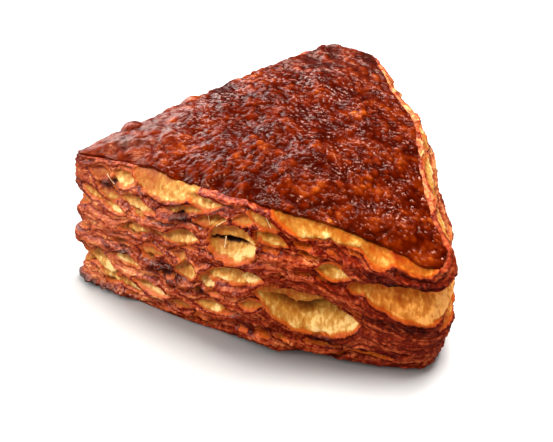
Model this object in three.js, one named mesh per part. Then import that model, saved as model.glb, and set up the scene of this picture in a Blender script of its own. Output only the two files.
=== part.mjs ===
// A pretzel croissant: a thick three-sided piece of laminated dough with a dark, domed crust on top,
// a flat underside, and side walls where the edges of the dough sheets stand out as ridges.
// Between the sheets the walls open into lens-shaped air pockets.
// Millimetres, +Z up, the origin under the middle of the pastry on the surface it stands on.
import * as THREE from "three";

// Driving sizes of the form
const WALL_HEIGHT = 51; // the side wall where it is tallest
const DOME_RISE = 5; // the crust's middle above that
const PLAN_MIDDLE = { x: -0.48, y: 19.92 }; // the middle of the plan's box, from the measuring point
const SIDES = {
  frontLeft: { facing: -104, reach: 31 },
  frontRight: { facing: -79, reach: 34 },
  rightTip: { facing: -21, reach: 61.4 },
  right: { facing: 29, reach: 48.5 },
  backTip: { facing: 86, reach: 71.5 },
  left: { facing: 148, reach: 43.6 },
}; // the way each side of the plan faces, in degrees, and how far it lies from the measuring point
const CORNER_SHARPNESS = 20; // higher values give tighter corners in the plan
const DOME_SHARPNESS = 5; // and in the dome's contours, which are rounder
const RIGHT_SWELL = { facing: 36, width: 20, out: 3.8 }; // the right side swells out near its middle
const BELLY = 0.4; // the share of the wall's height where it stands out furthest
const HIGH_BELLY = { along: 72, width: 24, rise: 0.22 }; // the belly lies higher round the right corner
const CRUST_SETBACK = 6; // how far the crust's edge lies behind the belly
const CRUST_SETBACK_RIGHT = 2.9; // more setback on the right side, and less on the left
const FOOT_SETBACK = 0.6; // how far the foot lies behind the belly
const FOOT_TUCKS = [
  { along: 18, width: 26, setback: 4 },
  { along: 72, width: 18, setback: 3.6 },
]; // where the foot tucks further under: right of the front's middle, and round the right corner
const CRUST_SWELL = 0.5; // low swells in the crust
const EDGE_DRAW = 4; // higher values keep the crust's drawn-down edge narrower

// The three corners of the crust: how far each dips and over what reach, and the share of the setback
// that its tip is spared, over what reach
const CORNERS = {
  left: { sides: ["frontLeft", "left"], dip: 3.5, reach: 22, spared: 0.65, tip: 14 },
  right: { sides: ["frontRight", "right"], dip: 15, reach: 34, spared: 1, tip: 18 },
  back: { sides: ["right", "left"], dip: 1.5, reach: 26, spared: 0, tip: 14 },
};

// The laminated sheets
const SHEETS = 8;
const RIDGE = 1.6; // how far a sheet's edge stands out of the grooves beside it
const RIDGE_PROUD = 0.6; // the part of that which lies outside the smooth wall
const SHEET_STRAY = 1.3; // how far whole sheets stand in or out along the wall
const FRONT_ARCH = { along: 8, width: 27, rise: 0.055 }; // the sheets arch upwards near the front's middle

// Air pockets that show on the front: the middle's place along the wall from the front's middle and its
// share of the wall's height, half length, half height, depth, and the rise along the pocket's length
const FRONT_POCKETS = [
  { along: 20, up: 0.385, length: 15.5, height: 7.6, depth: 9, rise: -0.06 },
  { along: -3, up: 0.745, length: 8.2, height: 5.4, depth: 8, rise: 0.1 },
  { along: 49, up: 0.635, length: 14, height: 4.8, depth: 3.5, rise: 0.12 },
  { along: -28, up: 0.965, length: 13, height: 3, depth: 3, rise: 0.05 },
  { along: 16, up: 0.965, length: 8, height: 2.6, depth: 3.4, rise: -0.05 },
  { along: 33, up: 0.95, length: 10, height: 2.2, depth: 2.6, rise: -0.02 },
  { along: -3, up: 0.535, length: 8, height: 2.4, depth: 3.4, rise: 0.2 },
  { along: -20, up: 0.665, length: 6, height: 2.2, depth: 3, rise: 0.2 },
  { along: -12, up: 0.845, length: 6.5, height: 2, depth: 3.4, rise: 0.25 },
  { along: -53, up: 0.22, length: 5, height: 3.2, depth: 3.6, rise: -0.5 },
  { along: -38, up: 0.16, length: 10, height: 2.4, depth: 2.4, rise: -0.1 },
  { along: -40, up: 0.79, length: 7, height: 2, depth: 2.6, rise: -0.05 },
  { along: -62, up: 0.67, length: 6, height: 2, depth: 2.8, rise: 0 },
  { along: -62, up: 0.19, length: 6, height: 2.6, depth: 3, rise: 0 },
];
const FRONT_END = 64; // the front reaches this far to each side of its middle

// Air pockets on the two other walls, spread by a rule
const SIDE_POCKETS = 34;
const SIDE_POCKET = { length: [5, 13], height: [1.5, 3.6], depth: [1.8, 4.6] }; // least and most
const POCKET_UNDERCUT = 0.35; // a pocket climbs by this share of its depth, so its upper lip overhangs

// Mesh resolution
const AROUND = 120;
const ROWS_PER_SHEET = 4;
const CRUST_RINGS = 8;
const BASE_RINGS = 2;
const OUTLINE_POINTS = 180;

const CRUST_COLOUR = 0x7d2f17;
const CRUST_ROUGHNESS = 0.4;
const GOLDEN_ANGLE = Math.PI * (3 - Math.sqrt(5));
const SPREAD_ALONG = 0.7548776662; // steps of golden sequences, which spread places and sizes evenly
const SPREAD_UP = 0.569840291;
const SPREAD_SIZE = 0.6180339887;

const share = (value) => value - Math.floor(value);
const mix = (a, b, t) => a + (b - a) * t;
const bell = (distance, width) => Math.exp(-((distance / width) ** 2));
const quarterRound = (t) => 1 - Math.sqrt(Math.max(0, 1 - t * t));

// The distance from the measuring point to a rounded contour that hugs all the sides, at an angle
function contourReach(angle, sharpness) {
  let sum = 0;
  for (const { facing, reach } of Object.values(SIDES)) {
    sum += Math.max(0, Math.cos(angle - THREE.MathUtils.degToRad(facing)) / reach) ** sharpness;
  }
  return sum ** (-1 / sharpness);
}

// The same for the plan's outline, with the swell of the right side
function outlineReach(angle) {
  const aside = THREE.MathUtils.radToDeg(angle) - RIGHT_SWELL.facing;
  return contourReach(angle, CORNER_SHARPNESS) + RIGHT_SWELL.out * bell(aside, RIGHT_SWELL.width);
}

// The plan's outline as a closed curve that starts at the front's middle and runs to the right
function planOutline() {
  const points = [];
  for (let i = 0; i < OUTLINE_POINTS; i++) {
    const angle = (i / OUTLINE_POINTS) * 2 * Math.PI - Math.PI / 2;
    const reach = outlineReach(angle);
    points.push(new THREE.Vector3(reach * Math.cos(angle), reach * Math.sin(angle), 0));
  }
  const outline = new THREE.CatmullRomCurve3(points, true);
  outline.arcLengthDivisions = OUTLINE_POINTS * 10;
  return outline;
}

// Where two sides of the plan would meet if the corner weren't rounded
function sidesMeet([first, second]) {
  const a = SIDES[first];
  const b = SIDES[second];
  const angleA = THREE.MathUtils.degToRad(a.facing);
  const angleB = THREE.MathUtils.degToRad(b.facing);
  const turn = Math.sin(angleB - angleA);
  return new THREE.Vector3(
    (a.reach * Math.sin(angleB) - b.reach * Math.sin(angleA)) / turn,
    (b.reach * Math.cos(angleA) - a.reach * Math.cos(angleB)) / turn,
    0,
  );
}

const outline = planOutline();
const perimeter = outline.getLength();
const corners = Object.values(CORNERS).map((corner) => ({ ...corner, at: sidesMeet(corner.sides) }));

// Everything that one upright strip of the wall needs, at a turn from 0 to 1 round the plan
function wallStrip(turn) {
  const point = outline.getPointAt(turn);
  const tangent = outline.getTangentAt(turn);
  const normal = new THREE.Vector3(tangent.y, -tangent.x, 0);
  const along = (turn < 0.5 ? turn : turn - 1) * perimeter;
  let height = WALL_HEIGHT;
  let tip = 0;
  for (const corner of corners) {
    const distance = point.distanceTo(corner.at);
    height -= corner.dip * bell(distance, corner.reach);
    tip += corner.spared * bell(distance, corner.tip);
  }
  const crustSetback = (CRUST_SETBACK + CRUST_SETBACK_RIGHT * normal.x) * (1 - Math.min(1, tip));
  let footSetback = FOOT_SETBACK;
  for (const tuck of FOOT_TUCKS) footSetback += tuck.setback * bell(along - tuck.along, tuck.width);
  const belly = BELLY + HIGH_BELLY.rise * bell(along - HIGH_BELLY.along, HIGH_BELLY.width);
  return { turn, along, point, normal, height, belly, crustSetback, footSetback };
}

// How far the smooth wall lies behind its belly
function wallSetback(strip, up) {
  const { belly, crustSetback, footSetback } = strip;
  if (up > belly) return crustSetback * quarterRound((up - belly) / (1 - belly));
  return footSetback * quarterRound((belly - up) / belly);
}

// A slow ripple round the plan, different for each sheet, that closes on itself
function ripple(sheet, turn) {
  let sum = 0;
  for (let wave = 1; wave <= 3; wave++) {
    const cycles = 4 * wave + (sheet % 3);
    sum += Math.sin(2 * Math.PI * cycles * turn + GOLDEN_ANGLE * sheet * (wave + 1)) / wave;
  }
  return sum / 1.5;
}

// The sheets' edges: each is a rounded ridge between two grooves, standing in or out as a whole
function sheetRelief(turn, level) {
  const sheet = Math.min(SHEETS - 1, Math.floor(level * SHEETS));
  const across = level * SHEETS - sheet;
  const ridge = Math.sqrt(Math.max(0, Math.sin(Math.PI * across)));
  return RIDGE * (ridge - 1) + RIDGE_PROUD + SHEET_STRAY * ripple(sheet, turn) * ridge;
}

// The air pockets of the two other walls lie in the grooves between sheets
function sidePockets() {
  const pockets = [];
  for (let i = 1; i <= SIDE_POCKETS; i++) {
    const size = share(i * SPREAD_SIZE);
    const groove = 1 + Math.floor(share(i * SPREAD_UP) * (SHEETS - 1));
    pockets.push({
      along: FRONT_END + share(i * SPREAD_ALONG) * (perimeter - 2 * FRONT_END),
      up: groove / SHEETS,
      length: mix(...SIDE_POCKET.length, size),
      height: mix(...SIDE_POCKET.height, share(size * 3)),
      depth: mix(...SIDE_POCKET.depth, share(size * 5)),
      rise: 0.1 * Math.sin(i),
    });
  }
  return pockets;
}

const pockets = [...FRONT_POCKETS, ...sidePockets()];

// How deep the air pockets cut at a place on the wall, and how far they open it, from 0 to 1
function pocketCut(strip, up) {
  let depth = 0;
  let open = 0;
  for (const pocket of pockets) {
    let aside = strip.along - pocket.along;
    aside -= perimeter * Math.round(aside / perimeter);
    const x = aside / pocket.length;
    if (Math.abs(x) >= 1) continue;
    const lens = (1 - x * x) ** 0.75;
    const y = ((up - pocket.up) * strip.height - pocket.rise * aside) / (pocket.height * lens);
    if (Math.abs(y) >= 1) continue;
    const bowl = (1 - y * y) ** 0.7 * lens ** 0.7;
    depth = Math.max(depth, pocket.depth * bowl);
    open = Math.max(open, Math.min(1, 2 * bowl));
  }
  return { depth, open };
}

// The sheets arch upwards near the front's middle, so a level runs at a changing share of the height
function levelToUp(along, level) {
  const arch = FRONT_ARCH.rise * bell(along - FRONT_ARCH.along, FRONT_ARCH.width);
  return level + arch * Math.sin(Math.PI * level);
}

// A point of the wall between its foot, level 0, and the crust's edge, level 1
function wallPoint(strip, level) {
  const up = levelToUp(strip.along, level);
  const { depth, open } = pocketCut(strip, up);
  const out = sheetRelief(strip.turn, level) * (1 - open) - depth - wallSetback(strip, up);
  const lift = POCKET_UNDERCUT * depth * (1 - up);
  return strip.point.clone().addScaledVector(strip.normal, out).setZ(up * strip.height + lift);
}

// The wall's two smooth ends: the foot that meets the underside, and the crust's edge over the pockets
function wallEnd(strip, up) {
  return strip.point.clone().addScaledVector(strip.normal, -wallSetback(strip, up)).setZ(up * strip.height);
}

// The crust's height over a place in the plan: a low dome with slow swells that dips at the corners
function crustHeight({ x, y }) {
  const outward = Math.hypot(x, y) / contourReach(Math.atan2(y, x), DOME_SHARPNESS);
  const swell = Math.sin(0.21 * x + 1) * Math.sin(0.19 * y) + Math.sin(0.13 * (x - y));
  let height = WALL_HEIGHT + DOME_RISE * (1 - outward ** 2) + CRUST_SWELL * swell;
  for (const { at, dip, reach } of corners) height -= dip * bell(Math.hypot(x - at.x, y - at.y), reach);
  return height;
}

// A point of the crust, from its edge to its middle; near the edge the dome is drawn to the wall's top
function crustPoint(strip, inward) {
  const edge = wallEnd(strip, 1);
  const point = edge.clone().multiplyScalar(1 - inward);
  const draw = (edge.z - crustHeight(edge)) * (1 - inward) ** EDGE_DRAW;
  return point.setZ(crustHeight(point) + draw);
}

// The flat underside, from its middle to the wall's foot
function basePoint(strip, outward) {
  return wallEnd(strip, 0).multiplyScalar(outward);
}

// The rows of points from the middle of the underside, up the wall, to the middle of the crust
function surfaceRows() {
  const rows = [];
  for (let i = 0; i <= BASE_RINGS; i++) rows.push((strip) => basePoint(strip, i / BASE_RINGS));
  const wallRows = SHEETS * ROWS_PER_SHEET;
  for (let i = 1; i < wallRows; i++) rows.push((strip) => wallPoint(strip, i / wallRows));
  for (let i = 0; i <= CRUST_RINGS; i++) rows.push((strip) => crustPoint(strip, i / CRUST_RINGS));
  return rows;
}

// A turned puck with a row of points for each row of the surface, each point then moved to the pastry
function pastryGeometry() {
  const rows = surfaceRows();
  const strips = Array.from({ length: AROUND }, (_, i) => wallStrip(i / AROUND));
  const profile = rows.map((row, i) => new THREE.Vector2(Math.sin((Math.PI * i) / (rows.length - 1)), i));
  const puck = new THREE.LatheGeometry(profile, AROUND);
  const position = puck.getAttribute("position");
  for (let i = 0; i < position.count; i++) {
    const strip = strips[Math.floor(i / rows.length) % AROUND];
    const point = rows[i % rows.length](strip);
    position.setXYZ(i, point.x - PLAN_MIDDLE.x, point.y - PLAN_MIDDLE.y, point.z);
  }
  puck.deleteAttribute("normal");
  puck.deleteAttribute("uv");
  return puck;
}

const bakedDough = new THREE.MeshStandardMaterial({
  color: CRUST_COLOUR,
  roughness: CRUST_ROUGHNESS,
  metalness: 0,
});
const pastry = new THREE.Mesh(pastryGeometry(), bakedDough);
pastry.name = "pastry";

const pretzelCroissant = new THREE.Group();
pretzelCroissant.add(pastry);

export default pretzelCroissant;
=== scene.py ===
# %% [markdown]
# # A pretzel croissant in Blender
# This lesson dresses one baked piece: a thick triangle of laminated lye dough. It has a dark, blistered,
# glossy crust on top, and side walls where the cut sheets of dough spread into brown ridges with pale air
# pockets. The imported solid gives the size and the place. Blender works in metres, so the sizes below,
# which are written in millimetres, are turned by one factor.

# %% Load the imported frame
import math
from collections import namedtuple
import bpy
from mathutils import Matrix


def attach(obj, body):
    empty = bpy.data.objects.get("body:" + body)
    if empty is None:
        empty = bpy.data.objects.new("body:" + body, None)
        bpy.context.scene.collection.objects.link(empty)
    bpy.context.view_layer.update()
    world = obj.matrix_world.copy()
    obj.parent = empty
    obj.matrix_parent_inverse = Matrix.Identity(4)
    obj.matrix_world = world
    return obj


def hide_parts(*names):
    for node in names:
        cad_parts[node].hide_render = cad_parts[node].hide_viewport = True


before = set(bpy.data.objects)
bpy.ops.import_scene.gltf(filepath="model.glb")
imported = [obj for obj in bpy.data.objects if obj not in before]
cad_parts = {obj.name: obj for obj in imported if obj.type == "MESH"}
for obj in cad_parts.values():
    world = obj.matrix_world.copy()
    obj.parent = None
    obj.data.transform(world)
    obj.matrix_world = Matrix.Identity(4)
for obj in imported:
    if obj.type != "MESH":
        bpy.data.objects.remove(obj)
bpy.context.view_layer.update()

from types import SimpleNamespace

import bpy
import numpy as np
from mathutils import Vector, noise

MM = 0.001

# %% [markdown]
# ## The camera
# The photograph looks down on the front side from a little to the right, with a long lens, so the far
# corner is hardly smaller than the near ones. The camera could be turned by hand. Here it is placed by
# its angles round a point inside the pastry, because the same function then places the lamps.

# %% Camera at the photograph's angle
VIEW_AZIMUTH = 20
VIEW_ELEVATION = 37.4
VIEW_DISTANCE = 475.5
VIEW_TARGET = Vector((0.48, -19.92, 26))
LENS = 100.25
SENSOR_WIDTH = 36


def aim(thing, azimuth, elevation, distance, target=Vector((0, 0, 0))):
    """Stands a camera or a lamp at angles in degrees round a point in mm, and turns it to that point."""
    azimuth, elevation = math.radians(azimuth), math.radians(elevation)
    flat = math.cos(elevation)
    outward = Vector((math.sin(azimuth) * flat, -math.cos(azimuth) * flat, math.sin(elevation)))
    thing.location = (target + outward * distance) * MM
    thing.rotation_euler = outward.to_track_quat("Z", "Y").to_euler()


camera_data = bpy.data.cameras.new("photo_camera")
camera_data.lens = LENS
camera_data.sensor_width = SENSOR_WIDTH
camera = bpy.data.objects.new("photo_camera", camera_data)
bpy.context.scene.collection.objects.link(camera)
aim(camera, VIEW_AZIMUTH, VIEW_ELEVATION, VIEW_DISTANCE, VIEW_TARGET)
bpy.context.scene.camera = camera
print("camera stands at", [round(c, 3) for c in camera.location])

# %% [markdown]
# ## The plan of the pastry
# Seen from above the piece is a triangle with rounded corners. It could be drawn as a curve, but a few
# sizes are easier to match. Each side is a straight line that faces some way at some distance from a
# measuring point, and adding the lines' pulls with a high power gives one smooth outline that hugs all of
# them. The right side swells, and is hollow towards the back. All but that hollow also shapes the packed
# solid, so the looks stay where the solid is.

# %% Sizes of the plan
FULL_TURN = 2 * math.pi
PLAN_MIDDLE = np.array([-0.48, 19.92])
SIDES = {
    "front_left": (-104, 31),
    "front_right": (-79, 34),
    "right_tip": (-21, 61.4),
    "right": (29, 48.5),
    "back_tip": (93, 71.6),
    "left": (148, 43.6),
}
CORNER_SHARPNESS = 20
DOME_SHARPNESS = 5
RIGHT_SWELL = SimpleNamespace(facing=36, width=20, out=3.8)
BACK_HOLLOW = SimpleNamespace(facing=64, width=13, out=-2.6)
OUTLINE_STEPS = 7200


def bell(distance, width):
    """A smooth hill, 1 at no distance."""
    return np.exp(-((distance / width) ** 2))


def ease(low, high, value):
    """A smooth step from 0 at low to 1 at high."""
    t = np.clip((value - low) / (high - low), 0, 1)
    return t * t * (3 - 2 * t)


def contour_reach(angle, sharpness):
    """The distance in mm from the measuring point to a rounded contour that hugs all the sides."""
    pull = 0
    for facing, reach in SIDES.values():
        pull = pull + np.maximum(0, np.cos(angle - math.radians(facing)) / reach) ** sharpness
    return pull ** (-1 / sharpness)


outline_angle = np.linspace(-FULL_TURN / 4, FULL_TURN * 3 / 4, OUTLINE_STEPS + 1)
outline_reach = contour_reach(outline_angle, CORNER_SHARPNESS)
for bulge in (RIGHT_SWELL, BACK_HOLLOW):
    outline_reach += bulge.out * bell(np.degrees(outline_angle) - bulge.facing, bulge.width)
outline_xy = outline_reach[:, None] * np.stack([np.cos(outline_angle), np.sin(outline_angle)], 1)
outline_along = np.concatenate([[0], np.cumsum(np.linalg.norm(np.diff(outline_xy, axis=0), axis=1))])
PERIMETER = outline_along[-1]
outline_tangent = np.gradient(outline_xy, outline_along, axis=0)
print(f"the outline is {PERIMETER:.1f} mm round")

# %% [markdown]
# ## The wall's profile
# The wall bulges a little below its middle, like a belly, which sits higher at the right corner. Above it
# the wall leans back to the crust's edge, though less on the right towards the back, and below it tucks
# under to the foot. The top rises over the front's middle and dips at the corners, most at the right one.
# Such a wall could be lofted through drawn sections, but a few bumps with named places are easier to
# match.

# %% Sizes of the wall
Bump = namedtuple("Bump", "along width size")
WALL_HEIGHT = 51
DOME_RISE = 5
BELLY = 0.4
HIGH_BELLY = [Bump(72, 24, 0.22)]
CRUST_SETBACK = 6
CRUST_SETBACK_RIGHT = 2.9
FOOT_SETBACK = 0.6
FOOT_TUCKS = [Bump(12, 26, 6), Bump(72, 18, 3.6)]
FRONT_RISES = [Bump(3, 13, 1.8), Bump(-20, 30, 0.6)]
CORNERS = {
    "left": SimpleNamespace(sides=("front_left", "left"), dip=3.5, reach=22, spared=0.5, tip=14),
    "right": SimpleNamespace(sides=("front_right", "right"), dip=15, reach=34, spared=1, tip=18),
    "back": SimpleNamespace(sides=("right", "left"), dip=1.5, reach=26, spared=0, tip=14),
}
print("wall heights at the three corners:", [round(WALL_HEIGHT - c.dip, 1) for c in CORNERS.values()])

# %% [markdown]
# Places along the wall are counted in mm from the front's middle, to the right. A strip holds what the
# wall is like at such places, and the setback then gives its profile at any share of the height.

# %% A strip of the wall
def sides_meet(first, second):
    """Where two sides of the plan would meet if the corner weren't rounded."""
    (facing_a, reach_a), (facing_b, reach_b) = SIDES[first], SIDES[second]
    a, b = math.radians(facing_a), math.radians(facing_b)
    turn = math.sin(b - a)
    x = (reach_a * math.sin(b) - reach_b * math.sin(a)) / turn
    y = (reach_b * math.cos(a) - reach_a * math.cos(b)) / turn
    return np.array([x, y])


def add_bumps(along, bumps):
    """Smooth bumps at places along the wall, added up."""
    return sum(bump.size * bell(along - bump.along, bump.width) for bump in bumps)


def wall_strip(along):
    """Outline point, outward normal, height, belly and setbacks of the wall at places along it."""
    around = along % PERIMETER
    xy = np.stack([np.interp(around, outline_along, outline_xy[:, i]) for i in (0, 1)], -1)
    tangent = np.stack([np.interp(around, outline_along, outline_tangent[:, i]) for i in (0, 1)], -1)
    normal = np.stack([tangent[..., 1], -tangent[..., 0]], -1)
    height = WALL_HEIGHT + add_bumps(along, FRONT_RISES)
    tip = np.zeros(np.shape(along))
    for corner in CORNERS.values():
        distance = np.linalg.norm(xy - corner.at, axis=-1)
        height -= corner.dip * bell(distance, corner.reach)
        tip += corner.spared * bell(distance, corner.tip)
    lean = (CRUST_SETBACK + CRUST_SETBACK_RIGHT * normal[..., 0]) * (1 - np.minimum(1, tip))
    facing = np.degrees(np.arctan2(xy[..., 1], xy[..., 0]))
    upright = BACK_HOLLOW.out * bell(facing - BACK_HOLLOW.facing, BACK_HOLLOW.width)
    return SimpleNamespace(
        xy=xy, normal=normal, height=height,
        belly=BELLY + add_bumps(along, HIGH_BELLY),
        crust_setback=lean + upright,
        foot_setback=FOOT_SETBACK + add_bumps(along, FOOT_TUCKS),
    )


def quarter_round(t):
    """A setback that starts flat at 0 and ends steep at 1."""
    return 1 - np.sqrt(np.maximum(0, 1 - t * t))


def wall_setback(strip, up):
    """How far the smooth wall lies behind its belly, at a share of its height."""
    above = strip.crust_setback * quarter_round(np.clip((up - strip.belly) / (1 - strip.belly), 0, 1))
    below = strip.foot_setback * quarter_round(np.clip((strip.belly - up) / strip.belly, 0, 1))
    return above + below


for corner in CORNERS.values():
    corner.at = sides_meet(*corner.sides)
print(f"the wall is {wall_strip(np.zeros(1)).height[0]:.1f} mm tall at the front's middle")

# %% [markdown]
# ## The blank for the walls
# A laminated wall could be stacked from many sheets, but the real sheets are fused into one crumb. So one
# closed blank is modelled instead, a drum with enough sides and cuts to carry fine relief, and its skin
# is pressed into form. The operators make the drum: a cylinder is added, its upright edges are selected
# by their direction, and Subdivide cuts them into rows.

# %% A drum with fine rows
COLUMNS = 760
ROWS = 128
HALF_DEPTH = 0.5


def deselect_all():
    """Leaves edit mode, with nothing selected."""
    if bpy.context.object and bpy.context.object.mode != "OBJECT":
        bpy.ops.object.mode_set(mode="OBJECT")
    bpy.ops.object.select_all(action="DESELECT")


def read_points(mesh):
    """The places of a mesh's points, one row for each."""
    points = np.empty(len(mesh.vertices) * 3)
    mesh.vertices.foreach_get("co", points)
    return points.reshape(-1, 3)


def write_points(mesh, points):
    """Moves a mesh's points to the places given."""
    mesh.vertices.foreach_set("co", points.ravel())
    mesh.update()


def subdivide_upright(mesh, cuts):
    """Cuts every upright edge of a cylinder with unit depth into rows."""
    ends = np.empty(len(mesh.edges) * 2, dtype=int)
    mesh.edges.foreach_get("vertices", ends)
    heights = read_points(mesh)[ends.reshape(-1, 2), 2]
    bpy.ops.object.mode_set(mode="EDIT")
    bpy.ops.mesh.select_mode(type="EDGE")
    bpy.ops.mesh.select_all(action="DESELECT")
    bpy.ops.object.mode_set(mode="OBJECT")
    mesh.edges.foreach_set("select", np.abs(heights[:, 0] - heights[:, 1]) > HALF_DEPTH)
    bpy.ops.object.mode_set(mode="EDIT")
    bpy.ops.mesh.subdivide(number_cuts=cuts)
    bpy.ops.object.mode_set(mode="OBJECT")


deselect_all()
bpy.ops.mesh.primitive_cylinder_add(
    vertices=COLUMNS, radius=1, depth=1, end_fill_type="TRIFAN", location=(0, 0, 0)
)
walls = bpy.context.object
walls.name = "pastry_walls"
drum = walls.data
subdivide_upright(drum, ROWS - 1)
print("the drum has", len(drum.vertices), "points in", ROWS, "rows of", COLUMNS)

# %% [markdown]
# ## Where each point of the drum goes
# Each point of the drum knows two things: its turn round the drum and its level between the foot and the
# crust. Half of all columns, a quarter turn to either side, go to the front wall, which carries the
# finest detail. The sheets arch upwards near the front's middle, so a level isn't quite a share of the
# height.

# %% Turn and level of every point
FRONT_END = 64
FRONT_TURN = 0.25
FRONT_ARCH = [Bump(8, 27, 0.055)]
NEAR_AXIS = 0.5

blank = read_points(drum)
on_axis = np.hypot(blank[:, 0], blank[:, 1]) < NEAR_AXIS
turn = np.arctan2(blank[:, 0], -blank[:, 1]) / FULL_TURN
level = np.clip(blank[:, 2] + HALF_DEPTH, 0, 1)
front_share = np.minimum(1, np.abs(turn) / FRONT_TURN)
side_share = np.clip(np.abs(turn) / FRONT_TURN - 1, 0, 1)
along = np.sign(turn) * (FRONT_END * front_share + side_share * (PERIMETER / 2 - FRONT_END))
strip = wall_strip(along)
up = level + add_bumps(along, FRONT_ARCH) * np.sin(math.pi * level)
print(f"front columns are {2 * FRONT_END / (COLUMNS / 2):.2f} mm apart, rows {WALL_HEIGHT / ROWS:.2f} mm")

# %% [markdown]
# ## Dough noise
# Baked dough is uneven at every scale. Blender's own fractal noise gives that, read at real sizes: a lump
# size in millimetres along x, y and z. Voronoi noise gives cells, and a round cap on each cell is a
# pebble. Slow noise at the smooth wall's points bends and drifts everything that follows.

# %% Noise with real sizes
ROUGHNESS = 1.0
FINER_BY = 2.0
CELL_SEED = 97.0
PEBBLE = SimpleNamespace(reach=0.66, tall=0.7, varies=0.3)


def dough_noise(points, size, detail=2, offset=0.0):
    """Blender's fractal noise at points in mm, with lumps of the given size in mm."""
    places = (points / np.asarray(size, dtype=float) + offset).tolist()
    return np.array([noise.fractal(place, ROUGHNESS, FINER_BY, detail) for place in places])


def dough_cells(points, size, offset=0.0):
    """Distances to the two nearest cell middles, height over the nearest one, and that cell's chance."""
    found = np.empty((len(points), 4))
    for i, place in enumerate((points / np.asarray(size, dtype=float) + offset).tolist()):
        distances, middles = noise.voronoi(place)
        chance = noise.cell(middles[0] * CELL_SEED)
        found[i] = distances[0], distances[1], place[2] - middles[0][2], chance
    return found.T


def pebbles(points, size, offset=0.0):
    """Round caps, 0 to 1, on Voronoi cells of the given size in mm, tall or flat by chance."""
    nearest, _, _, chance = dough_cells(points, size, offset)
    return (PEBBLE.tall + PEBBLE.varies * chance) * np.maximum(0, 1 - (nearest / PEBBLE.reach) ** 2)


smooth = np.column_stack([strip.xy, level * WALL_HEIGHT])
drift = dough_noise(smooth, (16, 16, 10), offset=3.1)
bend = dough_noise(smooth, (11, 11, 7), offset=7.7)
crumple = dough_noise(smooth, (4, 4, 3), offset=14.9)
print("slow noise spans", drift.min().round(2), "to", drift.max().round(2))
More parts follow.
